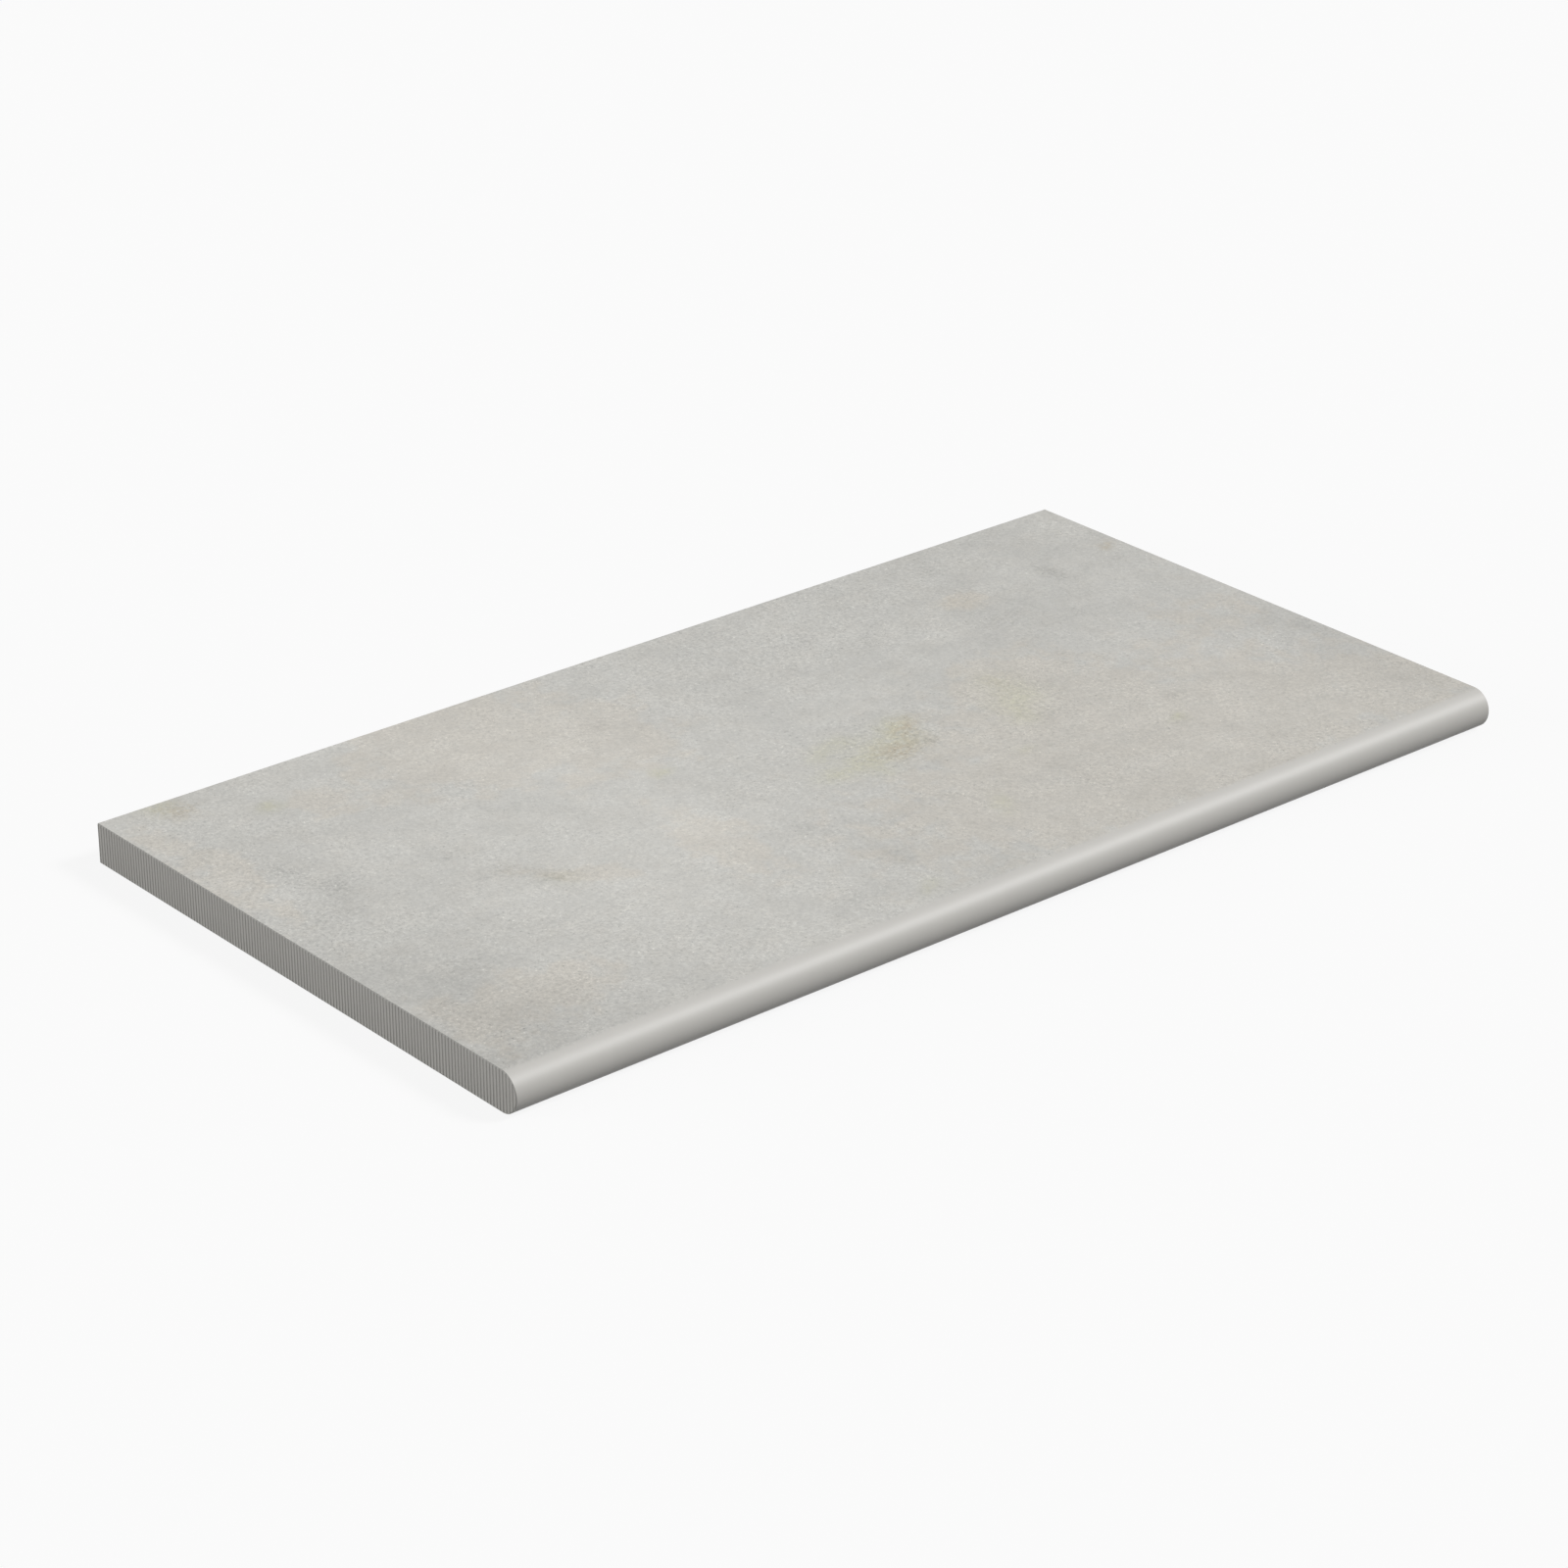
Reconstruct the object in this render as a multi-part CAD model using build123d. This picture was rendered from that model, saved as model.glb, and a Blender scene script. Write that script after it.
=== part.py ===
from build123d import *
import os
from math import floor

# Pool coping tile: one slab of pressed porcelain with a half-round nose along its water side.
# It lies face up on its keyed back. X runs along the pool edge and the nose points to -Y, over the
# water. The origin is on the underside, in the middle of the slab's length and width.

# Driving sizes, in millimetres
LENGTH = 600.0  # along the pool edge
WIDTH = 318.0  # from the tip of the nose to the square back edge
THICKNESS = 20.5
ARRIS = 0.4  # bevel along every edge of the two ends and the back

# Keyed back: a lattice of shallow pockets that the bedding mortar grips
KEY_POCKET = 22.0  # side of one square pocket at its mouth
KEY_RIB = 4.0  # width of the lattice bar between two pockets
KEY_DEPTH = 0.8
KEY_DRAFT = 30.0  # slope of the pocket walls in degrees, for release from the press
KEY_MARGIN = 16.0  # least plain border along the two ends and the back
NOSE_LAND = 44.0  # least plain strip behind the nose, where the slab overhangs the water

# Lines that follow from the driving sizes
NOSE_RADIUS = THICKNESS / 2
FRONT = -WIDTH / 2
BACK = WIDTH / 2


def coping_section():
    """The slab's cross-section: a flat bar, square at the back and fully rounded at the front."""
    nose_centre = FRONT + NOSE_RADIUS
    square_side = Polyline(
        (nose_centre, 0),
        (BACK, 0),
        (BACK, THICKNESS),
        (nose_centre, THICKNESS),
    )
    nose = ThreePointArc(square_side @ 1, (FRONT, NOSE_RADIUS), square_side @ 0)
    return make_face(square_side + nose)


def pressed_slab():
    """The section run along the pool edge, with its sharp edges eased by the arris."""
    slab = extrude(Plane.YZ * coping_section(), LENGTH / 2, both=True)
    ends = slab.faces().filter_by(Axis.X)
    back = slab.faces().filter_by(Axis.Y)
    sharp_edges = set(ends.edges() + back.edges())
    return chamfer(sharp_edges, ARRIS)


def pockets_along(room):
    """How many pockets, with the bars between them, fit in a stretch of the underside."""
    return floor((room + KEY_RIB) / (KEY_POCKET + KEY_RIB))


def key_pockets():
    """The pockets of the keyed back, in a grid centred on the part of the underside that is bedded."""
    bed_front = FRONT + NOSE_LAND
    bed_back = BACK - KEY_MARGIN
    pitch = KEY_POCKET + KEY_RIB
    columns = pockets_along(LENGTH - 2 * KEY_MARGIN)
    rows = pockets_along(bed_back - bed_front)
    pocket = extrude(Rectangle(KEY_POCKET, KEY_POCKET), KEY_DEPTH, taper=KEY_DRAFT)
    places = Pos(Y=(bed_front + bed_back) / 2) * GridLocations(pitch, pitch, columns, rows)
    return [place * pocket for place in places]


coping_tile = pressed_slab() - key_pockets()
coping_tile.label = "coping_tile"

os.makedirs("parts", exist_ok=True)
export_step(coping_tile, "parts/coping_tile.step")
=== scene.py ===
import math
from typing import NamedTuple

import bmesh
import bpy
from bpy.props import FloatProperty, FloatVectorProperty, IntProperty, PointerProperty
from mathutils import Color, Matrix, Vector, noise


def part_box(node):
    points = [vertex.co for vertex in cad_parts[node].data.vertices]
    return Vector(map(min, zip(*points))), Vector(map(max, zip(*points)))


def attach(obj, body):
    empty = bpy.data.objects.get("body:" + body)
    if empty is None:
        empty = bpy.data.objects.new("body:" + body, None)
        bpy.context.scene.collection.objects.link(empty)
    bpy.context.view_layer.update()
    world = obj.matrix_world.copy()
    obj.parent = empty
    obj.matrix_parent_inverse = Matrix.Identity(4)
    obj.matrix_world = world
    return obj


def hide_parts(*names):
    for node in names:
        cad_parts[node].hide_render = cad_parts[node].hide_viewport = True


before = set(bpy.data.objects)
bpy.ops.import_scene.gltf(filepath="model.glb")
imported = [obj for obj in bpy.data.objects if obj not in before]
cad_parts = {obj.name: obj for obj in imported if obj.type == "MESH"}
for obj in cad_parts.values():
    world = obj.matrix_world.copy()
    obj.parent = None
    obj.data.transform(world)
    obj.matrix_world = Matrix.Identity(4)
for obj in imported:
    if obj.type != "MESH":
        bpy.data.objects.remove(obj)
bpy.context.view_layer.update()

bl_info = {
    "name": "Pool Coping Tile",
    "version": (1, 0, 0),
    "blender": (4, 5, 0),
    "location": "3D View > Sidebar > Coping",
    "description": "Makes a cement-look porcelain coping tile with a half-round nose, and its studio",
    "category": "Object",
}

# The slab that the frame holds: face up, nose to -Y, origin in the middle of the underside
NODE = "coping_tile"
BODY = "root"
SLAB_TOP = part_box(NODE)[1]
END = SLAB_TOP.x
BACK = SLAB_TOP.y
FRONT = -BACK
THICKNESS = SLAB_TOP.z
NOSE_RADIUS = THICKNESS / 2
NOSE_CENTRE = FRONT + NOSE_RADIUS

MM = 0.001
NEAR = 1e-6  # two points closer than this are one point, in metres
SNAP = 0.02 * MM  # a cut goes through a corner that lies as near as this
SHARP_ANGLE = math.radians(30)  # faces that turn by more than this meet in a sharp corner
FACE_FINISH, END_FINISH, BODY_FINISH = range(3)
ALONG, ACROSS, UP = range(3)  # axes of the slab
SUPPORT = 2 * MM  # from the nose to the line that keeps the flat faces flat
FLOOR_REACH = 40  # half the floor's side, in metres
FLOOR_GAP = 0.1 * MM


class Patch(NamedTuple):
    """A soft oval in the print of the face, in millimetres. It is half as strong at its reach."""

    along: float  # middle, from the left end
    across: float  # middle, from the tip of the nose
    reach_along: float
    reach_across: float
    strength: float
    turn: float = 0  # degrees

    def at(self, along, across):
        """How strong the patch is at a place on the face."""
        turn = math.radians(self.turn)
        right = along - self.along
        back = across - self.across
        u = (right * math.cos(turn) + back * math.sin(turn)) / self.reach_along
        v = (back * math.cos(turn) - right * math.sin(turn)) / self.reach_across
        return self.strength * 0.5 ** (u * u + v * v)


class Layer(NamedTuple):
    """One layer of the print, which the corners of the mesh hold: patches with wandering edges."""

    name: str
    bend: float  # from one bend of an edge to the next, in millimetres
    stray: float  # how far an edge strays, in millimetres
    patches: tuple

    def at(self, place):
        """How strong the layer is at a place in the slab's frame."""
        spot = place / MM
        spot += noise.noise_vector(spot / self.bend) * self.stray
        along = spot.x + END / MM
        across = spot.y - FRONT / MM
        return sum(patch.at(along, across) for patch in self.patches)


# The print of the face, laid out one by one: where it is lighter or darker, warmer, sandier and stained
CLOUDS = Layer("clouds", 50, 16, (
    Patch(190, 200, 72, 140, 0.085),
    Patch(125, 85, 65, 55, 0.05),
    Patch(75, 185, 36, 36, 0.035),
    Patch(202, 125, 14, 28, 0.02),
    Patch(22, 255, 24, 35, 0.03),
    Patch(330, 240, 34, 36, 0.03),
    Patch(375, 75, 26, 26, 0.025),
    Patch(5, 45, 46, 74, -0.12),
    Patch(80, 20, 38, 22, -0.045),
    Patch(272, 50, 26, 45, -0.03),
    Patch(480, 220, 60, 40, -0.035),
    Patch(560, 285, 80, 50, -0.045),
    Patch(596, 45, 38, 92, -0.08),
))
SMUDGES = Layer("smudges", 9, 4, (
    Patch(46, 193, 8, 8, -0.14),
    Patch(38, 221, 6, 11, -0.075),
    Patch(28, 169, 14, 7, -0.065, 20),
    Patch(104, 189, 8, 8, -0.07),
    Patch(112, 158, 7, 5, -0.12),
    Patch(126, 141, 6, 11, -0.155, 30),
    Patch(144, 131, 12, 6, -0.05, -30),
    Patch(166, 136, 9, 6, -0.03),
    Patch(46, 91, 14, 9, -0.06),
    Patch(18, 117, 14, 5, -0.05),
    Patch(64, 52, 18, 7, -0.045),
    Patch(95, 272, 12, 9, -0.035),
    Patch(150, 242, 6, 12, -0.045),
    Patch(242, 251, 7, 4, -0.06),
    Patch(240, 147, 13, 5, -0.055, 20),
    Patch(247, 104, 8, 9, -0.06),
    Patch(258, 52, 9, 8, -0.07),
    Patch(215, 30, 12, 8, -0.045),
    Patch(285, 308, 15, 10, -0.045),
    Patch(33, 308, 8, 9, -0.085),
    Patch(71, 280, 6, 4, -0.045),
    Patch(323, 235, 6, 4, -0.06),
    Patch(380, 266, 13, 7, -0.06),
    Patch(412, 246, 5, 6, -0.065),
    Patch(480, 224, 13, 14, -0.045),
    Patch(489, 264, 6, 6, -0.055),
    Patch(494, 292, 6, 13, -0.055),
    Patch(542, 252, 5, 9, -0.165),
    Patch(539, 309, 16, 7, -0.045),
    Patch(352, 138, 5, 4, -0.18),
    Patch(338, 139, 13, 7, -0.055),
    Patch(412, 136, 8, 9, 0.035),
    Patch(421, 123, 8, 4, -0.09),
    Patch(482, 99, 6, 4, -0.08),
    Patch(463, 79, 4, 4, -0.075),
    Patch(383, 57, 9, 10, -0.04),
    Patch(441, 73, 8, 6, -0.045),
    Patch(357, 20, 13, 7, -0.045),
    Patch(593, 112, 6, 11, -0.06),
    Patch(205, 138, 13, 9, 0.045),
    Patch(98, 134, 11, 8, 0.04),
    Patch(345, 188, 20, 8, 0.045),
    Patch(432, 230, 15, 6, 0.045),
    Patch(533, 115, 6, 11, 0.045),
    Patch(460, 42, 10, 9, 0.04),
    Patch(527, 33, 12, 8, 0.04),
    Patch(4, 77, 4, 4, 0.14),
    Patch(4, 36, 6, 4, 0.12),
))
WARM_ZONES = Layer("warm_zones", 30, 10, (
    Patch(430, 65, 160, 75, 1.0),
    Patch(580, 118, 26, 30, -0.2),
    Patch(585, 35, 30, 30, 0.3),
    Patch(430, 165, 40, 30, 0.6),
    Patch(572, 165, 34, 45, 0.4, 35),
    Patch(182, 280, 55, 52, 1.0, -20),
    Patch(245, 235, 36, 42, 0.6),
    Patch(12, 235, 18, 70, 0.7),
    Patch(62, 52, 36, 26, 0.8),
    Patch(10, 50, 20, 50, 0.4),
    Patch(85, 272, 26, 20, 0.5),
    Patch(203, 120, 15, 32, 0.7),
    Patch(478, 253, 13, 12, 0.8),
    Patch(140, 134, 26, 8, 0.8, -40),
))
SANDY_ZONES = Layer("sandy_zones", 30, 10, (
    Patch(390, 275, 110, 40, 0.3),
    Patch(15, 215, 20, 55, 0.5),
    Patch(420, 150, 20, 25, 0.5),
    Patch(340, 145, 22, 14, 0.5),
    Patch(110, 60, 80, 40, 0.15),
    Patch(540, 250, 45, 60, -0.3),
    Patch(390, 205, 60, 16, -0.4),
    Patch(190, 195, 45, 30, -0.2),
))
OLIVE_STAINS = Layer("olive_stains", 9, 4, (
    Patch(303, 159, 9, 5, 0.6, 45),
    Patch(320, 163, 7, 5, 0.6),
    Patch(294, 136, 9, 6, 0.6),
    Patch(311, 138, 9, 7, 0.6),
    Patch(324, 143, 9, 10, 0.6),
    Patch(342, 145, 10, 9, 0.8),
    Patch(352, 159, 8, 8, 0.9),
    Patch(315, 126, 7, 6, 0.4),
    Patch(408, 131, 7, 9, 0.55, -30),
    Patch(419, 146, 13, 8, 0.6),
    Patch(424, 165, 9, 10, 0.45),
    Patch(128, 136, 8, 6, 0.25, -50),
    Patch(30, 312, 7, 7, 0.7),
    Patch(71, 280, 5, 5, 0.75),
    Patch(463, 79, 4, 3, 1.0),
    Patch(233, 192, 4, 4, 0.8),
    Patch(250, 21, 7, 4, 0.5, 40),
    Patch(332, 63, 4, 9, 0.5, -25),
    Patch(380, 99, 4, 4, 0.5),
))
RUST_STAINS = Layer("rust_stains", 9, 4, (
    Patch(335, 138, 10, 7, 0.95),
    Patch(355, 155, 9, 5, 1.0, 45),
    Patch(425, 167, 9, 8, 0.2),
    Patch(36, 304, 7, 7, 0.7),
    Patch(114, 156, 6, 5, 0.25),
    Patch(130, 137, 10, 5, 0.15, -50),
    Patch(589, 259, 4, 4, 0.8),
    Patch(478, 253, 12, 9, 0.3),
))
PRINT = (CLOUDS, SMUDGES, WARM_ZONES, SANDY_ZONES, OLIVE_STAINS, RUST_STAINS)
NOISE_MEAN = 0.5
SCREEN_WHITE = 255

# Stretches of a noise over which a mark of the print comes in, from none to whole
MOTTLE_SPAN = (0.48, 0.64)
SANDY_SPAN = (0.35, 0.75)
BLOTCH_SPAN = (0.3, 0.6)
PALE_FLECK_SPAN = (0.71, 0.8)
DARK_FLECK_SPAN = (0.29, 0.2)
PIT_SPAN = (0.27, 0.15)
WARM_SPAN = (0.35, 0.65)


def paint(red, green, blue):
    """A colour given from 0 to 255 on screen, as the linear colour that shaders use."""
    on_screen = Color((red, green, blue)) / SCREEN_WHITE
    return tuple(on_screen.from_srgb_to_scene_linear())


def amount(name, description, default):
    """A property that holds a plain number."""
    return FloatProperty(name=name, description=description, default=default)


def length(name, description, default):
    """A property that holds a size in metres."""
    return FloatProperty(name=name, description=description, default=default, unit="LENGTH", precision=5)


def share(name, description, default):
    """A property that holds a share, from none to all."""
    return FloatProperty(
        name=name, description=description, default=default, min=0, max=1, subtype="FACTOR"
    )


def angle(name, description, degrees):
    """A property that holds an angle."""
    return FloatProperty(name=name, description=description, default=math.radians(degrees), subtype="ANGLE")


def lamp_direction(name, description, default):
    """A property that holds the way from the slab to a lamp."""
    return FloatVectorProperty(name=name, description=description, default=default, subtype="DIRECTION")


def colour(name, description, default):
    """A property that holds a colour."""
    return FloatVectorProperty(
        name=name, description=description, default=default, min=0, max=1, size=3, subtype="COLOR"
    )


class CopingTileShape(bpy.types.PropertyGroup):
    """The slab's fine shape, on top of the frame's length, width and thickness."""

    arris: length("Arris", "Bevel along every edge of the ends and the back", 0.4 * MM)
    nose_steps: IntProperty(
        name="Nose steps", description="Facets in each quarter of the nose", default=24, min=4, max=64
    )
    nose_land: length("Nose land", "Least plain strip of the underside behind the nose", 44 * MM)
    rib_pitch: length("Rib pitch", "From one upright rib of the ends to the next", 2.216 * MM)
    rib_depth: length("Rib depth", "How far the grooves go in", 0.25 * MM)
    rib_land: share("Rib land", "Share of the pitch that is the flat crest of a rib", 0.5)
    rib_wall: share("Rib wall", "Share of the pitch that is one sloping wall of a groove", 0.1)
    key_pocket: length("Key pocket", "Side of one square pocket of the keyed back", 22 * MM)
    key_bar: length("Key bar", "Width of the lattice bar between two pockets", 4 * MM)
    key_depth: length("Key depth", "Depth of the pockets", 0.8 * MM)
    key_margin: length("Key margin", "Least plain border of the underside at the ends and back", 16 * MM)
    key_draft: angle("Key draft", "Slope of the pocket walls", 30)
    print_grid: length("Print grid", "Side of a square of the face, whose corners hold the print", 3 * MM)
    print_seed: IntProperty(
        name="Print seed", description="Which way the edges of the print's patches stray", default=1, min=1
    )


class CopingTilePrint(bpy.types.PropertyGroup):
    """The cement print of the face: how large each kind of mark is, and how much it changes the tone."""

    nose_start: length("Nose start", "Where the print starts to fade, from the tip of the nose", 10.5 * MM)
    nose_end: length("Nose end", "Where the plain glaze is whole, from the tip of the nose", 7 * MM)
    nose_cloud: share("Nose cloud", "How much of the cement's clouds shows on the nose", 0.06)
    lightness: amount("Lightness", "Tone of the print as a whole", 1.01)
    cement_size: length("Cement size", "Size of the largest clouds in the cement", 60 * MM)
    cement_contrast: share("Cement contrast", "How much the clouds lighten or darken", 0.45)
    mottle_size: length("Mottle size", "Size of the faint darker mottles", 13 * MM)
    mottle_depth: share("Mottle depth", "How much the mottles darken", 0.035)
    zone_size: length("Zone size", "Size of the sandy zones that lie between the laid ones", 30 * MM)
    sand_size: length("Sand size", "Size of the grains of sand", 2.3 * MM)
    sand_contrast: share("Sand contrast", "How much the grains lighten or darken", 0.4)
    sandy_contrast: share("Sandy contrast", "How much more they do so in the sandy zones", 0.32)
    fleck_size: length("Fleck size", "Size of the noise whose peaks are pale and dark flecks", 1.9 * MM)
    fleck_contrast: share("Fleck contrast", "How much the flecks lighten or darken", 0.22)
    sandy_flecks: share("Sandy flecks", "How much more they do so in the sandy zones", 0.12)
    pit_size: length("Pit size", "Size of the noise whose lowest places are pits", 4.5 * MM)
    pit_depth: share("Pit depth", "How much the pits darken", 0.12)
    blotch_size: length("Blotch size", "Size of the blotches that break up smudges and stains", 4 * MM)
    smudge_base: share("Smudge base", "Share of a smudge that is even", 0.6)
    smudge_blotch: share("Smudge blotch", "Share of a smudge that comes and goes in blotches", 0.5)
    smudge_grain: amount("Smudge grain", "How much more of a smudge lies in the dark grains", 2)
    stain_base: share("Stain base", "Share of an olive stain that is even", 0.5)
    stain_blotch: share("Stain blotch", "Share of an olive stain that comes and goes in blotches", 0.5)
    drift_size: length("Drift size", "Size of the drifts from cool to warm cement", 20 * MM)
    drift_warmth: share("Drift warmth", "How much the drifts warm or cool", 0.8)
    cool_warmth: share("Cool warmth", "How warm the cement is outside the warm zones", 0.1)
    zone_warmth: share("Zone warmth", "How much warmer it is inside them", 0.8)
    grain_gloss: share("Grain gloss", "How much duller the pale grains are than the dark ones", 0.2)
    grain_depth: length("Grain depth", "How far the grains stand out", 0.006 * MM)


class CopingTileFinish(bpy.types.PropertyGroup):
    """The colours and gloss of the porcelain, and the painted shade in the grooves of the ends."""

    cool_cement: colour("Cool cement", "Cooler grey of the print", paint(192.5, 191.5, 186.7))
    warm_cement: colour("Warm cement", "Beige grey of the print", paint(194.5, 190.8, 183))
    nose_glaze: colour("Nose glaze", "Plain colour of the nose", paint(194, 192, 187))
    rib_crest: colour("Rib crest", "Fired body on the crests of the end ribs", paint(197, 195, 190))
    # Painted shade: a darker grey in the end grooves that stands in for the shade falling there, not a
    # colour of the fired body
    rib_groove_painted_shade: colour("Rib groove", "Fired body in the grooves of the ends", paint(182, 181, 176))
    fired_body: colour("Fired body", "Unglazed back and underside", paint(186, 183, 175))
    kiln_wash: colour("Kiln wash", "Chalky wash on what lay on the kiln rollers", paint(205, 203, 198))
    olive_stain: colour("Olive stain", "Greenish yellow of the stains", paint(191, 189, 168))
    rust_stain: colour("Rust stain", "Brown at the heart of the stains", paint(182, 173, 156))
    glaze_shine: share("Glaze shine", "Strength of the glaze's reflections", 0.74)
    face_roughness: share("Face roughness", "Roughness of the printed face", 0.65)
    nose_roughness: share("Nose roughness", "Roughness of the glazed nose", 0.55)
    body_roughness: share("Body roughness", "Roughness of the unglazed body", 0.72)
    body_mottle_size: length("Body mottle size", "Size of the mottles on the back and underside", 40 * MM)
    body_mottle: share("Body mottle", "How much they lighten or darken", 0.4)
    end_mottle_size: length("End mottle size", "Size of the mottles on the ends", 12 * MM)
    end_mottle: share("End mottle", "How much they lighten or darken", 0.2)
    dull_mottle: share("Dull mottle", "How much duller the pale mottles are than the dark ones", 0.2)
    grit_size: length("Grit size", "Size of the grit in the unglazed body", 0.8 * MM)
    grit_contrast: share("Grit contrast", "How much the grit lightens or darkens", 0.15)
    grit_depth: length("Grit depth", "How far the grit stands out", 0.02 * MM)


class CopingStage(bpy.types.PropertyGroup):
    """The studio around the slab: lamps, floor and camera."""

    key_strength: amount("Key strength", "Strength of the key lamp", 2.4)
    key_size: angle("Key size", "How wide the key lamp looks from the slab", 16)
    key_from: lamp_direction("Key from", "Where the key lamp's light comes from", (0.535, -0.406, 0.63))
    fill_strength: amount("Fill strength", "Strength of the fill lamp", 1.15)
    fill_size: angle("Fill size", "How wide the fill lamp looks from the slab", 30)
    fill_from: lamp_direction("Fill from", "Where the fill lamp's light comes from", (-0.85, 0.48, 0.2))
    sky_strength: amount("Sky strength", "Even light from all round", 0.4)
    backdrop: colour("Backdrop", "White of the floor and backdrop as the camera sees them", (0.965,) * 3)
    bounce: colour("Bounce", "Grey that the floor throws back on the slab", (0.12,) * 3)
    shadow: share("Shadow", "How much of the slab's shadow shows on the floor", 0.08)
    camera_turn: angle("Camera turn", "How far the camera stands round to the left of the nose", 40.367)
    camera_height: angle("Camera height", "How steeply the camera looks down", 25.305)
    camera_distance: length("Camera distance", "From the camera to the point that it looks at", 2.177)
    camera_aim: FloatVectorProperty(
        name="Camera aim",
        description="Point of the floor in the middle of the picture",
        default=(-3.3 * MM, 19 * MM, 0),
        subtype="TRANSLATION",
        unit="LENGTH",
    )
    camera_lens: amount("Lens", "Focal length in millimetres", 104.13)


# Shader maths


class Socket:
    """One output in a node tree. An operator on it, or on it and a number, adds the Math node for that."""

    def __init__(self, tree, output):
        self.tree = tree
        self.output = output

    def also(self, name):
        """Another output of the same node."""
        return Socket(self.tree, self.output.node.outputs[name])

    def __add__(self, other):
        return self.tree.math("ADD", self, other)

    def __sub__(self, other):
        return self.tree.math("SUBTRACT", self, other)

    def __rsub__(self, other):
        return self.tree.math("SUBTRACT", other, self)

    def __mul__(self, other):
        return self.tree.math("MULTIPLY", self, other)

    def __abs__(self):
        return self.tree.node("ShaderNodeMath", {"operation": "ABSOLUTE"}, {0: self})

    __radd__ = __add__
    __rmul__ = __mul__


class NodeTree:
    """The nodes of one material or world, added as they are asked for."""

    # Sockets of a Mix node that mixes colours
    MIX_FACTOR = 0
    MIX_FIRST = 6
    MIX_SECOND = 7
    MIX_RESULT = 2

    def __init__(self, owner):
        owner.use_nodes = True
        self.nodes = owner.node_tree.nodes
        self.links = owner.node_tree.links
        self.nodes.clear()

    def node(self, kind, settings, sockets, output=0):
        """Adds a node, makes its settings, then fills or links its sockets. Gives one of its outputs."""
        made = self.nodes.new(kind)
        for name, value in settings.items():
            setattr(made, name, value)
        for name, value in sockets.items():
            if isinstance(value, Socket):
                self.links.new(value.output, made.inputs[name])
            else:
                made.inputs[name].default_value = value
        return Socket(self, made.outputs[output]) if made.outputs else None

    def math(self, operation, first, second):
        return self.node("ShaderNodeMath", {"operation": operation}, {0: first, 1: second})

    def mix(self, first, second, factor):
        """From the first colour to the second, by a factor from 0 to 1."""
        sockets = {self.MIX_FACTOR: factor, self.MIX_FIRST: first, self.MIX_SECOND: second}
        return self.node("ShaderNodeMix", {"data_type": "RGBA"}, sockets, self.MIX_RESULT)

    def scaled(self, vector, factor):
        """A colour or vector times a value."""
        return self.node("ShaderNodeVectorMath", {"operation": "SCALE"}, {0: vector, "Scale": factor})

    def ramp(self, value, start, end):
        """Rises smoothly from 0 at start to 1 at end, which may be the lower of the two."""
        sockets = {"Value": value, "From Min": start, "From Max": end}
        return self.node("ShaderNodeMapRange", {"interpolation_type": "SMOOTHSTEP"}, sockets)

    def noise(self, place, size, detail=0.0, roughness=0.5, dimensions="3D"):
        """Soft noise about NOISE_MEAN, with features of that size in metres and finer octaves below it."""
        sockets = {"Vector": place, "Scale": 1 / size, "Detail": detail, "Roughness": roughness}
        return self.node("ShaderNodeTexNoise", {"noise_dimensions": dimensions}, sockets)

    def plan_noise(self, place, size, detail=0.0, roughness=0.5):
        """Noise in plan, the same at every height."""
        return self.noise(place, size, detail, roughness, "2D")

    def bump(self, height, depth):
        """A normal that follows a height from 0 to 1, over a depth in metres."""
        return self.node("ShaderNodeBump", {}, {"Height": height, "Distance": depth})

    def layer(self, layer):
        """A layer of the print, from the corners of the mesh."""
        return self.node("ShaderNodeAttribute", {"attribute_name": layer.name}, {}, "Fac")

    def object_place(self):
        """Where a point lies in the piece's own frame."""
        return self.node("ShaderNodeTexCoord", {}, {}, "Object")

    def axes(self, place):
        """The X, Y and Z of a place."""
        x = self.node("ShaderNodeSeparateXYZ", {}, {0: place}, "X")
        return x, x.also("Y"), x.also("Z")


def new_finish(name):
    """A new material and its empty node tree."""
    material = bpy.data.materials.new(name)
    return material, NodeTree(material)


def end_finish(tree, sockets):
    """Closes a material with its surface shader."""
    surface = tree.node("ShaderNodeBsdfPrincipled", {}, sockets)
    tree.node("ShaderNodeOutputMaterial", {}, {"Surface": surface})


def opaque(tint):
    """A colour as the socket of a node takes it, with its alpha."""
    return (*tint, 1)


# Finishes of the porcelain


def print_tone(tree, place, marks, cement, sand, blotched):
    """How light the print is from place to place, about 1."""
    sandy = tree.plan_noise(place, marks.zone_size, detail=3) + tree.layer(SANDY_ZONES)
    sandy = tree.ramp(sandy, *SANDY_SPAN)
    mottle = tree.plan_noise(place, marks.mottle_size, detail=3, roughness=0.7)
    grains = tree.plan_noise(place, marks.fleck_size, detail=1, roughness=0.9)
    flecks = tree.ramp(grains, *PALE_FLECK_SPAN) - tree.ramp(grains, *DARK_FLECK_SPAN)
    pits = tree.plan_noise(place, marks.pit_size, detail=1, roughness=0.9)
    dirt = marks.smudge_base + marks.smudge_blotch * blotched - marks.smudge_grain * sand
    tone = marks.lightness + cement * marks.cement_contrast + tree.layer(CLOUDS)
    tone = tone - tree.ramp(mottle, *MOTTLE_SPAN) * marks.mottle_depth
    tone = tone - tree.ramp(pits, *PIT_SPAN) * marks.pit_depth
    tone = tone + sand * (marks.sand_contrast + marks.sandy_contrast * sandy)
    tone = tone + flecks * (marks.fleck_contrast + marks.sandy_flecks * sandy)
    return tone + tree.layer(SMUDGES) * dirt


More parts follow.
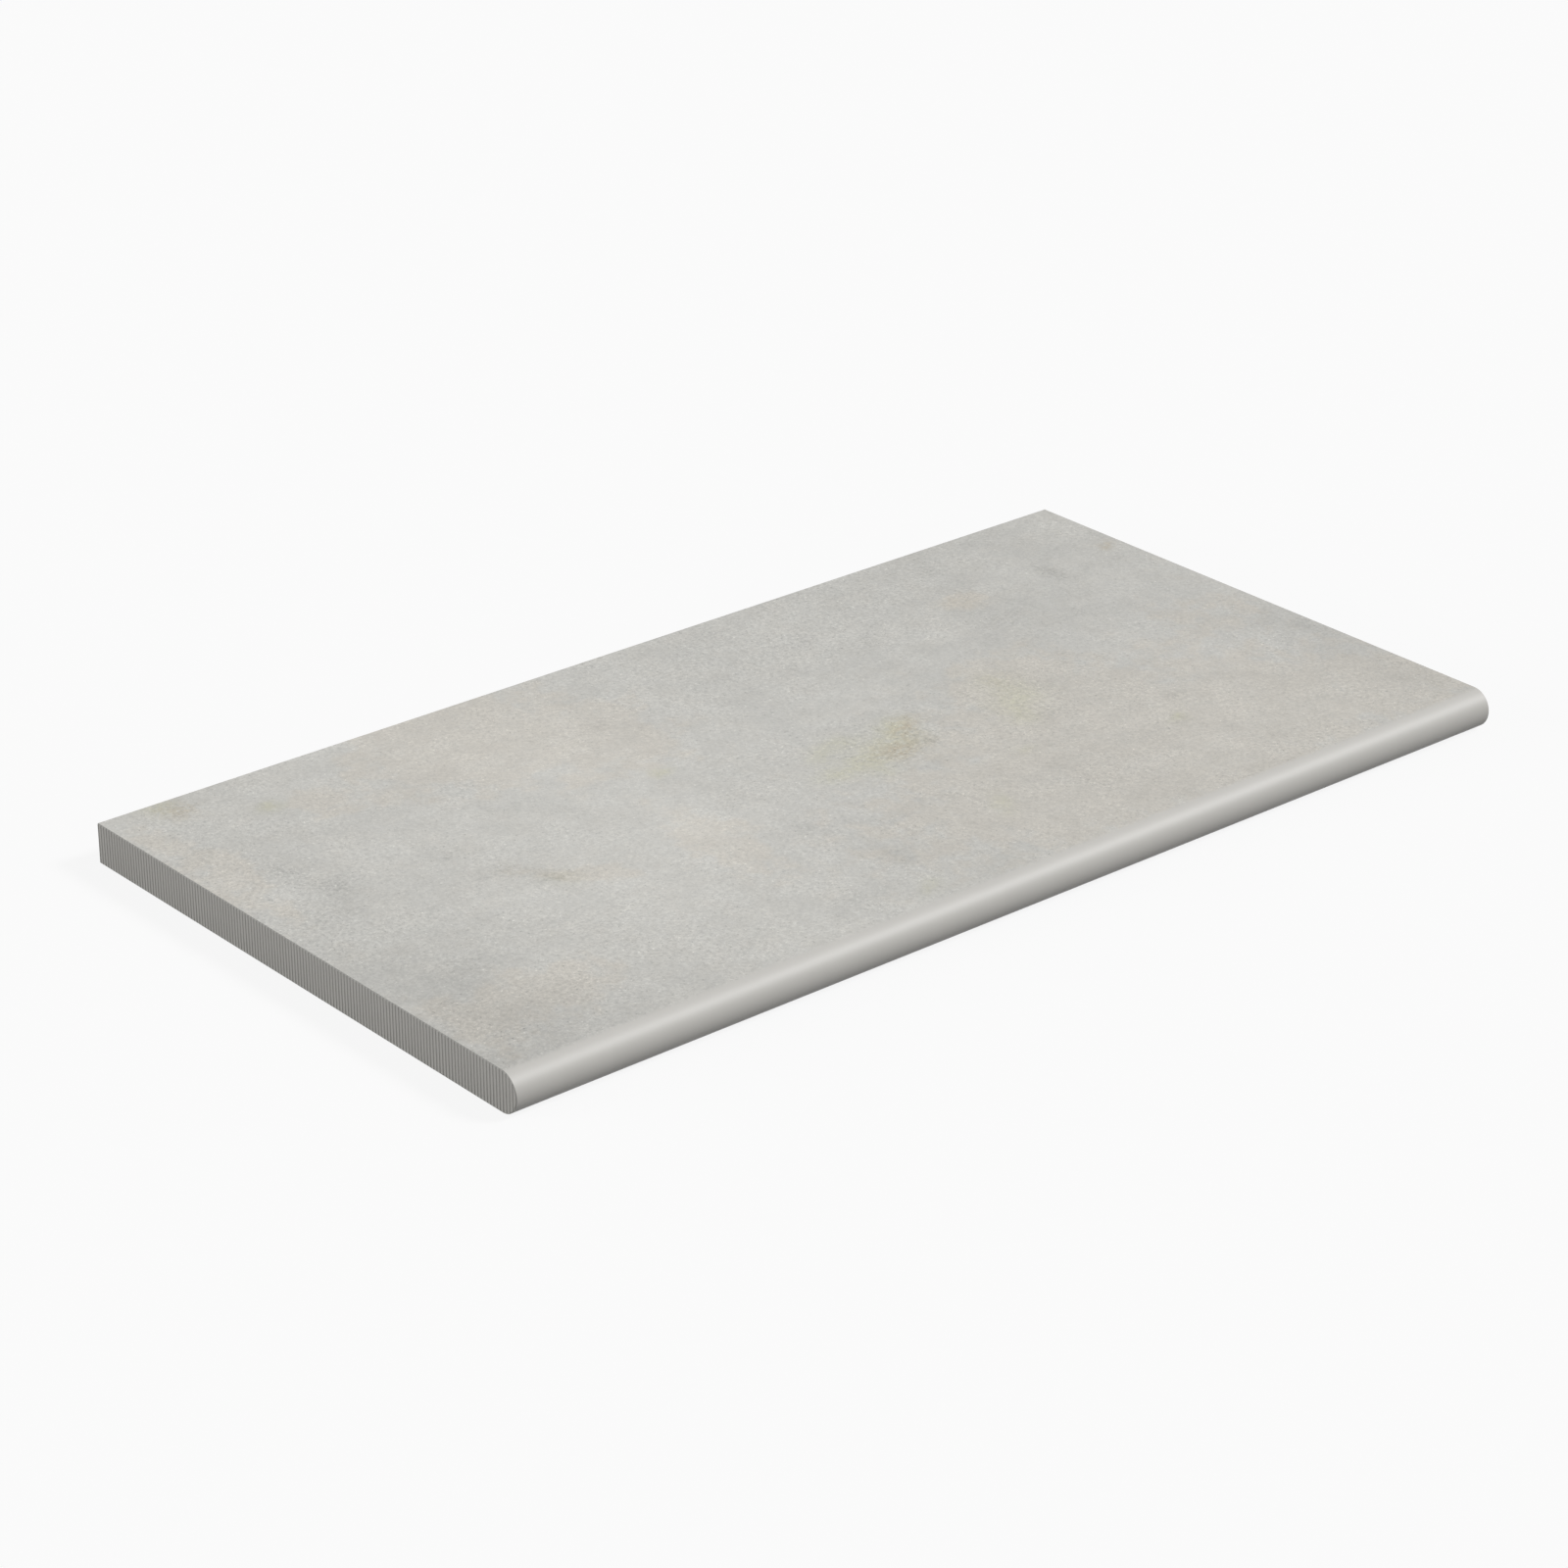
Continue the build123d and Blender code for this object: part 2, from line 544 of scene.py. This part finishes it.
def print_colour(tree, place, marks, finish, blotched):
    """The print's colour before its tone: cement from cool to warm, then the stains."""
    drift = tree.plan_noise(place, marks.drift_size, detail=2, roughness=0.8) - NOISE_MEAN
    drift = drift * marks.drift_warmth
    warm = tree.ramp(tree.layer(WARM_ZONES) + drift, *WARM_SPAN)
    warmth = marks.cool_warmth + warm * marks.zone_warmth + drift
    olive = tree.layer(OLIVE_STAINS) * (marks.stain_base + marks.stain_blotch * blotched)
    rust = tree.layer(RUST_STAINS) * blotched
    printed = tree.mix(opaque(finish.cool_cement), opaque(finish.warm_cement), warmth)
    printed = tree.mix(printed, opaque(finish.olive_stain), olive)
    return tree.mix(printed, opaque(finish.rust_stain), rust)


def glazed_face(marks, finish):
    """The printed face, whose cement look fades into the plain glaze of the nose."""
    material, tree = new_finish("glazed_face")
    place = tree.object_place()
    on_nose = tree.ramp(tree.axes(place)[ACROSS], FRONT + marks.nose_start, FRONT + marks.nose_end)
    on_face = 1 - on_nose
    cement = tree.plan_noise(place, marks.cement_size, detail=6, roughness=0.96) - NOISE_MEAN
    grain = tree.plan_noise(place, marks.sand_size, detail=2, roughness=0.88)
    sand = grain - NOISE_MEAN
    blotched = tree.ramp(tree.plan_noise(place, marks.blotch_size, detail=3, roughness=0.7), *BLOTCH_SPAN)
    tone = print_tone(tree, place, marks, cement, sand, blotched)
    printed = tree.scaled(print_colour(tree, place, marks, finish, blotched), tone)
    plain = tree.scaled(tuple(finish.nose_glaze), 1 + cement * marks.nose_cloud)
    roughness = finish.face_roughness + on_nose * (finish.nose_roughness - finish.face_roughness)
    sockets = {
        "Base Color": tree.mix(printed, plain, on_nose),
        "Roughness": roughness + sand * on_face * marks.grain_gloss,
        "Specular IOR Level": finish.glaze_shine,
        "Normal": tree.bump(grain * on_face, marks.grain_depth),
    }
    end_finish(tree, sockets)
    return material


def end_unglazed(tree, place, finish, base, mottle, contrast):
    """Closes a material as bare fired porcelain: mottled, gritty and dull."""
    grit = tree.noise(place, finish.grit_size, detail=1)
    tone = 1 + mottle * contrast + (grit - NOISE_MEAN) * finish.grit_contrast
    sockets = {
        "Base Color": tree.scaled(base, tone),
        "Roughness": finish.body_roughness + mottle * finish.dull_mottle,
        "Normal": tree.bump(grit, finish.grit_depth),
    }
    end_finish(tree, sockets)


def ribbed_end(shape, finish):
    """The unglazed ends: dull fired body, with painted shade that makes it darker down in the grooves
    between the ribs.
    """
    material, tree = new_finish("ribbed_end")
    place = tree.object_place()
    depth = END - abs(tree.axes(place)[ALONG])
    # Painted shade: the end turns from the crest colour to the darker groove colour as it sinks into a
    # groove
    groove_shade_mask = tree.ramp(depth, 0, shape.rib_depth)
    base = tree.mix(opaque(finish.rib_crest), opaque(finish.rib_groove_painted_shade), groove_shade_mask)
    mottle = tree.noise(place, finish.end_mottle_size, detail=4, roughness=0.8) - NOISE_MEAN
    end_unglazed(tree, place, finish, base, mottle, finish.end_mottle)
    return material


def fired_body(shape, finish):
    """The unglazed back and underside, with chalky wash where the slab lay on the kiln rollers."""
    material, tree = new_finish("fired_body")
    place = tree.object_place()
    height = tree.axes(place)[UP]
    mottle = tree.noise(place, finish.body_mottle_size, detail=6, roughness=0.8) - NOISE_MEAN
    washed = tree.ramp(height + mottle * shape.key_depth, shape.key_depth / 2, 0)
    base = tree.mix(opaque(finish.fired_body), opaque(finish.kiln_wash), washed)
    end_unglazed(tree, place, finish, base, mottle, finish.body_mottle)
    return material


# Shape of the slab


def bevel_edges(bm, edges, offset, steps):
    """Bevels edges in steps, which round them. The new faces take the finish of those beside them."""
    bmesh.ops.bevel(
        bm, geom=edges, offset=offset, affect="EDGES", segments=steps, profile=0.5, material=-1
    )


def slab_blank(bm, shape):
    """A block of the slab's size, its two long front edges rounded until they meet as the nose."""
    block = bmesh.ops.create_cube(bm, size=1)["verts"]
    bmesh.ops.scale(bm, vec=(2 * END, BACK - FRONT, THICKNESS), verts=block)
    bmesh.ops.translate(bm, vec=(0, 0, THICKNESS / 2), verts=block)
    front_edges = [
        edge
        for edge in bm.edges
        if all(vert.co.y < 0 for vert in edge.verts) and edge.verts[0].co.z == edge.verts[1].co.z
    ]
    bevel_edges(bm, front_edges, NOSE_RADIUS, shape.nose_steps)
    bmesh.ops.remove_doubles(bm, verts=bm.verts[:], dist=NEAR)
    slice_faces(bm, bm.faces[:], ACROSS, [NOSE_CENTRE + SUPPORT])


def ease_edges(bm, shape):
    """Bevels every edge of the two ends and the back by the arris."""

    def is_sharp(edge):
        middle = (edge.verts[0].co + edge.verts[1].co) / 2
        return abs(middle.x) > END - NEAR or middle.y > BACK - NEAR

    bevel_edges(bm, [edge for edge in bm.edges if is_sharp(edge)], shape.arris, 1)


def hand_out_finishes(bm, shape):
    """Gives each face the slot of its finish: glazed face and nose, ribbed ends, fired body."""
    for face in bm.faces:
        middle = face.calc_center_median()
        if abs(middle.x) > END - shape.arris:
            face.material_index = END_FINISH
        elif middle.y < NOSE_CENTRE or is_level(face, THICKNESS):
            face.material_index = FACE_FINISH
        else:
            face.material_index = BODY_FINISH


def is_level(face, height):
    """Whether all of a face lies at one height."""
    return all(abs(corner.co.z - height) < NEAR for corner in face.verts)


def reaches(part, axis, line):
    """Whether a face, edge or corner touches a line across an axis or lies beyond it."""
    corners = [part] if isinstance(part, bmesh.types.BMVert) else part.verts
    return any(corner.co[axis] > line - NEAR for corner in corners)


def slice_faces(bm, faces, axis, lines):
    """Cuts faces across an axis at lines that rise along it, each through what lies beyond the last."""
    direction = Vector.Fill(3)
    direction[axis] = 1
    edges = dict.fromkeys(edge for face in faces for edge in face.edges)
    corners = dict.fromkeys(corner for face in faces for corner in face.verts)
    beyond = [*faces, *edges, *corners]
    for line in lines:
        made = bmesh.ops.bisect_plane(
            bm, geom=beyond, dist=SNAP, plane_co=direction * line, plane_no=direction
        )
        beyond = [part for part in made["geom"] if reaches(part, axis, line)]


def key_lines(low, high, shape):
    """Where each pocket starts and ends, along the stretch of the underside from low to high."""
    pitch = shape.key_pocket + shape.key_bar
    count = math.floor((high - low + shape.key_bar) / pitch)
    first = (low + high - count * pitch + shape.key_bar) / 2
    starts = [first + number * pitch for number in range(count)]
    return [(start, start + shape.key_pocket) for start in starts]


def press_keys(bm, shape):
    """Sinks the lattice of pockets into the underside."""
    columns = key_lines(-END + shape.key_margin, END - shape.key_margin, shape)
    rows = key_lines(FRONT + shape.nose_land, BACK - shape.key_margin, shape)
    for axis, spans in ((ALONG, columns), (ACROSS, rows)):
        bed = [face for face in bm.faces if is_level(face, 0)]
        slice_faces(bm, bed, axis, [line for span in spans for line in span])

    def in_pocket(face):
        middle = face.calc_center_median()
        in_column = any(low < middle.x < high for low, high in columns)
        return in_column and any(low < middle.y < high for low, high in rows)

    bmesh.ops.inset_individual(
        bm,
        faces=[face for face in bm.faces if is_level(face, 0) and in_pocket(face)],
        thickness=shape.key_depth * math.tan(shape.key_draft),
        depth=-shape.key_depth,
        use_even_offset=True,
    )


def rib_lines(shape):
    """The lines across the slab where the walls of the end grooves start and stop, front to back."""
    crest = shape.rib_land / 2
    turns = (crest, crest + shape.rib_wall, 1 - crest - shape.rib_wall, 1 - crest)
    count = math.ceil((BACK - FRONT) / shape.rib_pitch)
    lines = [BACK - (number + turn) * shape.rib_pitch for number in range(count) for turn in turns]
    return [y for y in reversed(lines) if y > FRONT + NEAR]


def groove_depth(y, shape):
    """How far the end lies below its rib crests at that place across the slab."""
    from_crest = (BACK - y) / shape.rib_pitch
    past_crest = abs(from_crest - round(from_crest)) - shape.rib_land / 2
    return shape.rib_depth * min(max(past_crest / shape.rib_wall, 0), 1)


def cut_ribs(bm, shape):
    """Cuts the ends into upright strips and sinks the grooves, which run out in the arris."""
    ends = [face for face in bm.faces if face.material_index == END_FINISH]
    slice_faces(bm, ends, ACROSS, rib_lines(shape))
    for corner in bm.verts:
        if abs(corner.co.x) > END - NEAR:
            corner.co.x -= math.copysign(groove_depth(corner.co.y, shape), corner.co.x)


def even_lines(low, high, spacing):
    """Lines that share out the stretch from low to high evenly, about that far apart."""
    count = round((high - low) / spacing)
    return [low + (high - low) * number / count for number in range(1, count)]


def lay_print(bm, shape):
    """Cuts the glazed faces into a grid and works out each layer of the print at its corners."""
    glazed = [face for face in bm.faces if face.material_index == FACE_FINISH]
    slice_faces(bm, glazed, ALONG, even_lines(-END, END, shape.print_grid))
    flat = [face for face in bm.faces if is_level(face, THICKNESS)]
    slice_faces(bm, flat, ACROSS, even_lines(NOSE_CENTRE + SUPPORT, BACK, shape.print_grid))
    noise.seed_set(shape.print_seed)
    strengths = {layer: bm.verts.layers.float.new(layer.name) for layer in PRINT}
    glazed = [face for face in bm.faces if face.material_index == FACE_FINISH]
    for corner in dict.fromkeys(corner for face in glazed for corner in face.verts):
        for layer, strength in strengths.items():
            corner[strength] = layer.at(corner.co)


def sharpen_corners(bm):
    """Shades the nose smoothly and keeps every real corner sharp."""
    bmesh.ops.recalc_face_normals(bm, faces=bm.faces[:])
    for face in bm.faces:
        face.smooth = True
    for edge in bm.edges:
        edge.smooth = edge.calc_face_angle() < SHARP_ANGLE


class OBJECT_OT_coping_tile_add(bpy.types.Operator):
    """Build the slab with its nose, ribbed ends and keyed back, and give it its finishes"""

    bl_idname = "object.coping_tile_add"
    bl_label = "Coping Tile"
    bl_options = {"REGISTER", "UNDO"}

    def execute(self, context):
        scene = context.scene
        shape = scene.coping_shape
        finish = scene.coping_finish
        bm = bmesh.new()
        slab_blank(bm, shape)
        ease_edges(bm, shape)
        hand_out_finishes(bm, shape)
        press_keys(bm, shape)
        cut_ribs(bm, shape)
        lay_print(bm, shape)
        sharpen_corners(bm)
        mesh = bpy.data.meshes.new("coping_tile_slab")
        bm.to_mesh(mesh)
        bm.free()
        finishes = (
            glazed_face(scene.coping_print, finish),
            ribbed_end(shape, finish),
            fired_body(shape, finish),
        )
        for material in finishes:
            mesh.materials.append(material)
        slab = bpy.data.objects.new("coping_tile_slab", mesh)
        scene.collection.objects.link(slab)
        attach(slab, BODY)
        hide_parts(NODE)
        return {"FINISHED"}


# Studio


def seen_directly(tree):
    """1 for rays that show the backdrop itself: to the camera, in a reflection or through glass."""
    camera = tree.node("ShaderNodeLightPath", {}, {}, "Is Camera Ray")
    return camera + camera.also("Is Glossy Ray") + camera.also("Is Transmission Ray")


def studio_sky(stage):
    """An even sky that lights the slab, and shows as the white of the backdrop."""
    world = bpy.data.worlds.new("studio_sky")
    tree = NodeTree(world)
    light = tree.node("ShaderNodeBackground", {}, {"Strength": stage.sky_strength})
    white = tree.node("ShaderNodeBackground", {}, {"Color": opaque(stage.backdrop)})
    sky = tree.node("ShaderNodeMixShader", {}, {0: seen_directly(tree), 1: light, 2: white})
    tree.node("ShaderNodeOutputWorld", {}, {"Surface": sky})
    return world


def studio_floor(stage):
    """The floor's finish: grey to the slab above it, near white to the camera, with a faint shadow."""
    material, tree = new_finish("studio_floor")
    grey = tree.node("ShaderNodeBsdfDiffuse", {}, {"Color": opaque(stage.bounce)})
    lit = tree.node("ShaderNodeBsdfDiffuse", {}, {"Color": opaque(stage.backdrop)})
    white = tree.node("ShaderNodeEmission", {}, {"Color": opaque(stage.backdrop)})
    shown = tree.node("ShaderNodeMixShader", {}, {0: stage.shadow, 1: white, 2: lit})
    surface = tree.node("ShaderNodeMixShader", {}, {0: seen_directly(tree), 1: grey, 2: shown})
    tree.node("ShaderNodeOutputMaterial", {}, {"Surface": surface})
    material.cycles.emission_sampling = "NONE"
    return material


def add_floor(context, stage):
    """A wide plain floor just under the slab."""
    bm = bmesh.new()
    bmesh.ops.create_grid(bm, x_segments=1, y_segments=1, size=FLOOR_REACH)
    bmesh.ops.translate(bm, vec=(0, 0, -FLOOR_GAP), verts=bm.verts[:])
    mesh = bpy.data.meshes.new("studio_floor")
    bm.to_mesh(mesh)
    bm.free()
    mesh.materials.append(studio_floor(stage))
    floor = bpy.data.objects.new("studio_floor", mesh)
    context.scene.collection.objects.link(floor)


def add_lamp(context, name, strength, size, towards_lamp):
    """A lamp so far away that its light falls the same way everywhere."""
    data = bpy.data.lights.new(name, "SUN")
    data.energy = strength
    data.angle = size
    lamp = bpy.data.objects.new(name, data)
    lamp.rotation_mode = "QUATERNION"
    lamp.rotation_quaternion = Vector(towards_lamp).to_track_quat("Z", "Y")
    context.scene.collection.objects.link(lamp)


def add_camera(context, stage):
    """The camera, which looks down on the left end and the nose."""
    level = math.cos(stage.camera_height)
    towards_camera = Vector(
        (
            -math.sin(stage.camera_turn) * level,
            -math.cos(stage.camera_turn) * level,
            math.sin(stage.camera_height),
        )
    )
    data = bpy.data.cameras.new("camera")
    data.lens = stage.camera_lens
    camera = bpy.data.objects.new("camera", data)
    camera.location = Vector(stage.camera_aim) + towards_camera * stage.camera_distance
    camera.rotation_mode = "QUATERNION"
    camera.rotation_quaternion = (-towards_camera).to_track_quat("-Z", "Y")
    context.scene.collection.objects.link(camera)
    context.scene.camera = camera


class SCENE_OT_coping_stage_add(bpy.types.Operator):
    """Set up the studio: floor, sky, two lamps and camera"""

    bl_idname = "scene.coping_stage_add"
    bl_label = "Studio"
    bl_options = {"REGISTER", "UNDO"}

    def execute(self, context):
        stage = context.scene.coping_stage
        context.scene.world = studio_sky(stage)
        context.scene.view_settings.view_transform = "Standard"
        add_floor(context, stage)
        add_lamp(context, "key_lamp", stage.key_strength, stage.key_size, stage.key_from)
        add_lamp(context, "fill_lamp", stage.fill_strength, stage.fill_size, stage.fill_from)
        add_camera(context, stage)
        return {"FINISHED"}


class VIEW3D_PT_coping_tile(bpy.types.Panel):
    """Lists the slab and the studio with their sizes and colours"""

    bl_idname = "VIEW3D_PT_coping_tile"
    bl_label = "Pool Coping Tile"
    bl_space_type = "VIEW_3D"
    bl_region_type = "UI"
    bl_category = "Coping"

    def draw(self, context):
        scene = context.scene
        groups = (
            (
                OBJECT_OT_coping_tile_add,
                (scene.coping_shape, scene.coping_print, scene.coping_finish),
            ),
            (SCENE_OT_coping_stage_add, (scene.coping_stage,)),
        )
        for operator, settings in groups:
            box = self.layout.box()
            box.operator(operator.bl_idname)
            for group in settings:
                for name in group.__annotations__:
                    box.prop(group, name)


CLASSES = (
    CopingTileShape,
    CopingTilePrint,
    CopingTileFinish,
    CopingStage,
    OBJECT_OT_coping_tile_add,
    SCENE_OT_coping_stage_add,
    VIEW3D_PT_coping_tile,
)
SCENE_SETTINGS = {
    "coping_shape": CopingTileShape,
    "coping_print": CopingTilePrint,
    "coping_finish": CopingTileFinish,
    "coping_stage": CopingStage,
}


def register():
    for each in CLASSES:
        bpy.utils.register_class(each)
    for name, group in SCENE_SETTINGS.items():
        setattr(bpy.types.Scene, name, PointerProperty(type=group))


def unregister():
    for name in SCENE_SETTINGS:
        delattr(bpy.types.Scene, name)
    for each in reversed(CLASSES):
        bpy.utils.unregister_class(each)


def main():
    register()
    bpy.ops.object.coping_tile_add()
    bpy.ops.scene.coping_stage_add()


if __name__ == "__main__":
    main()
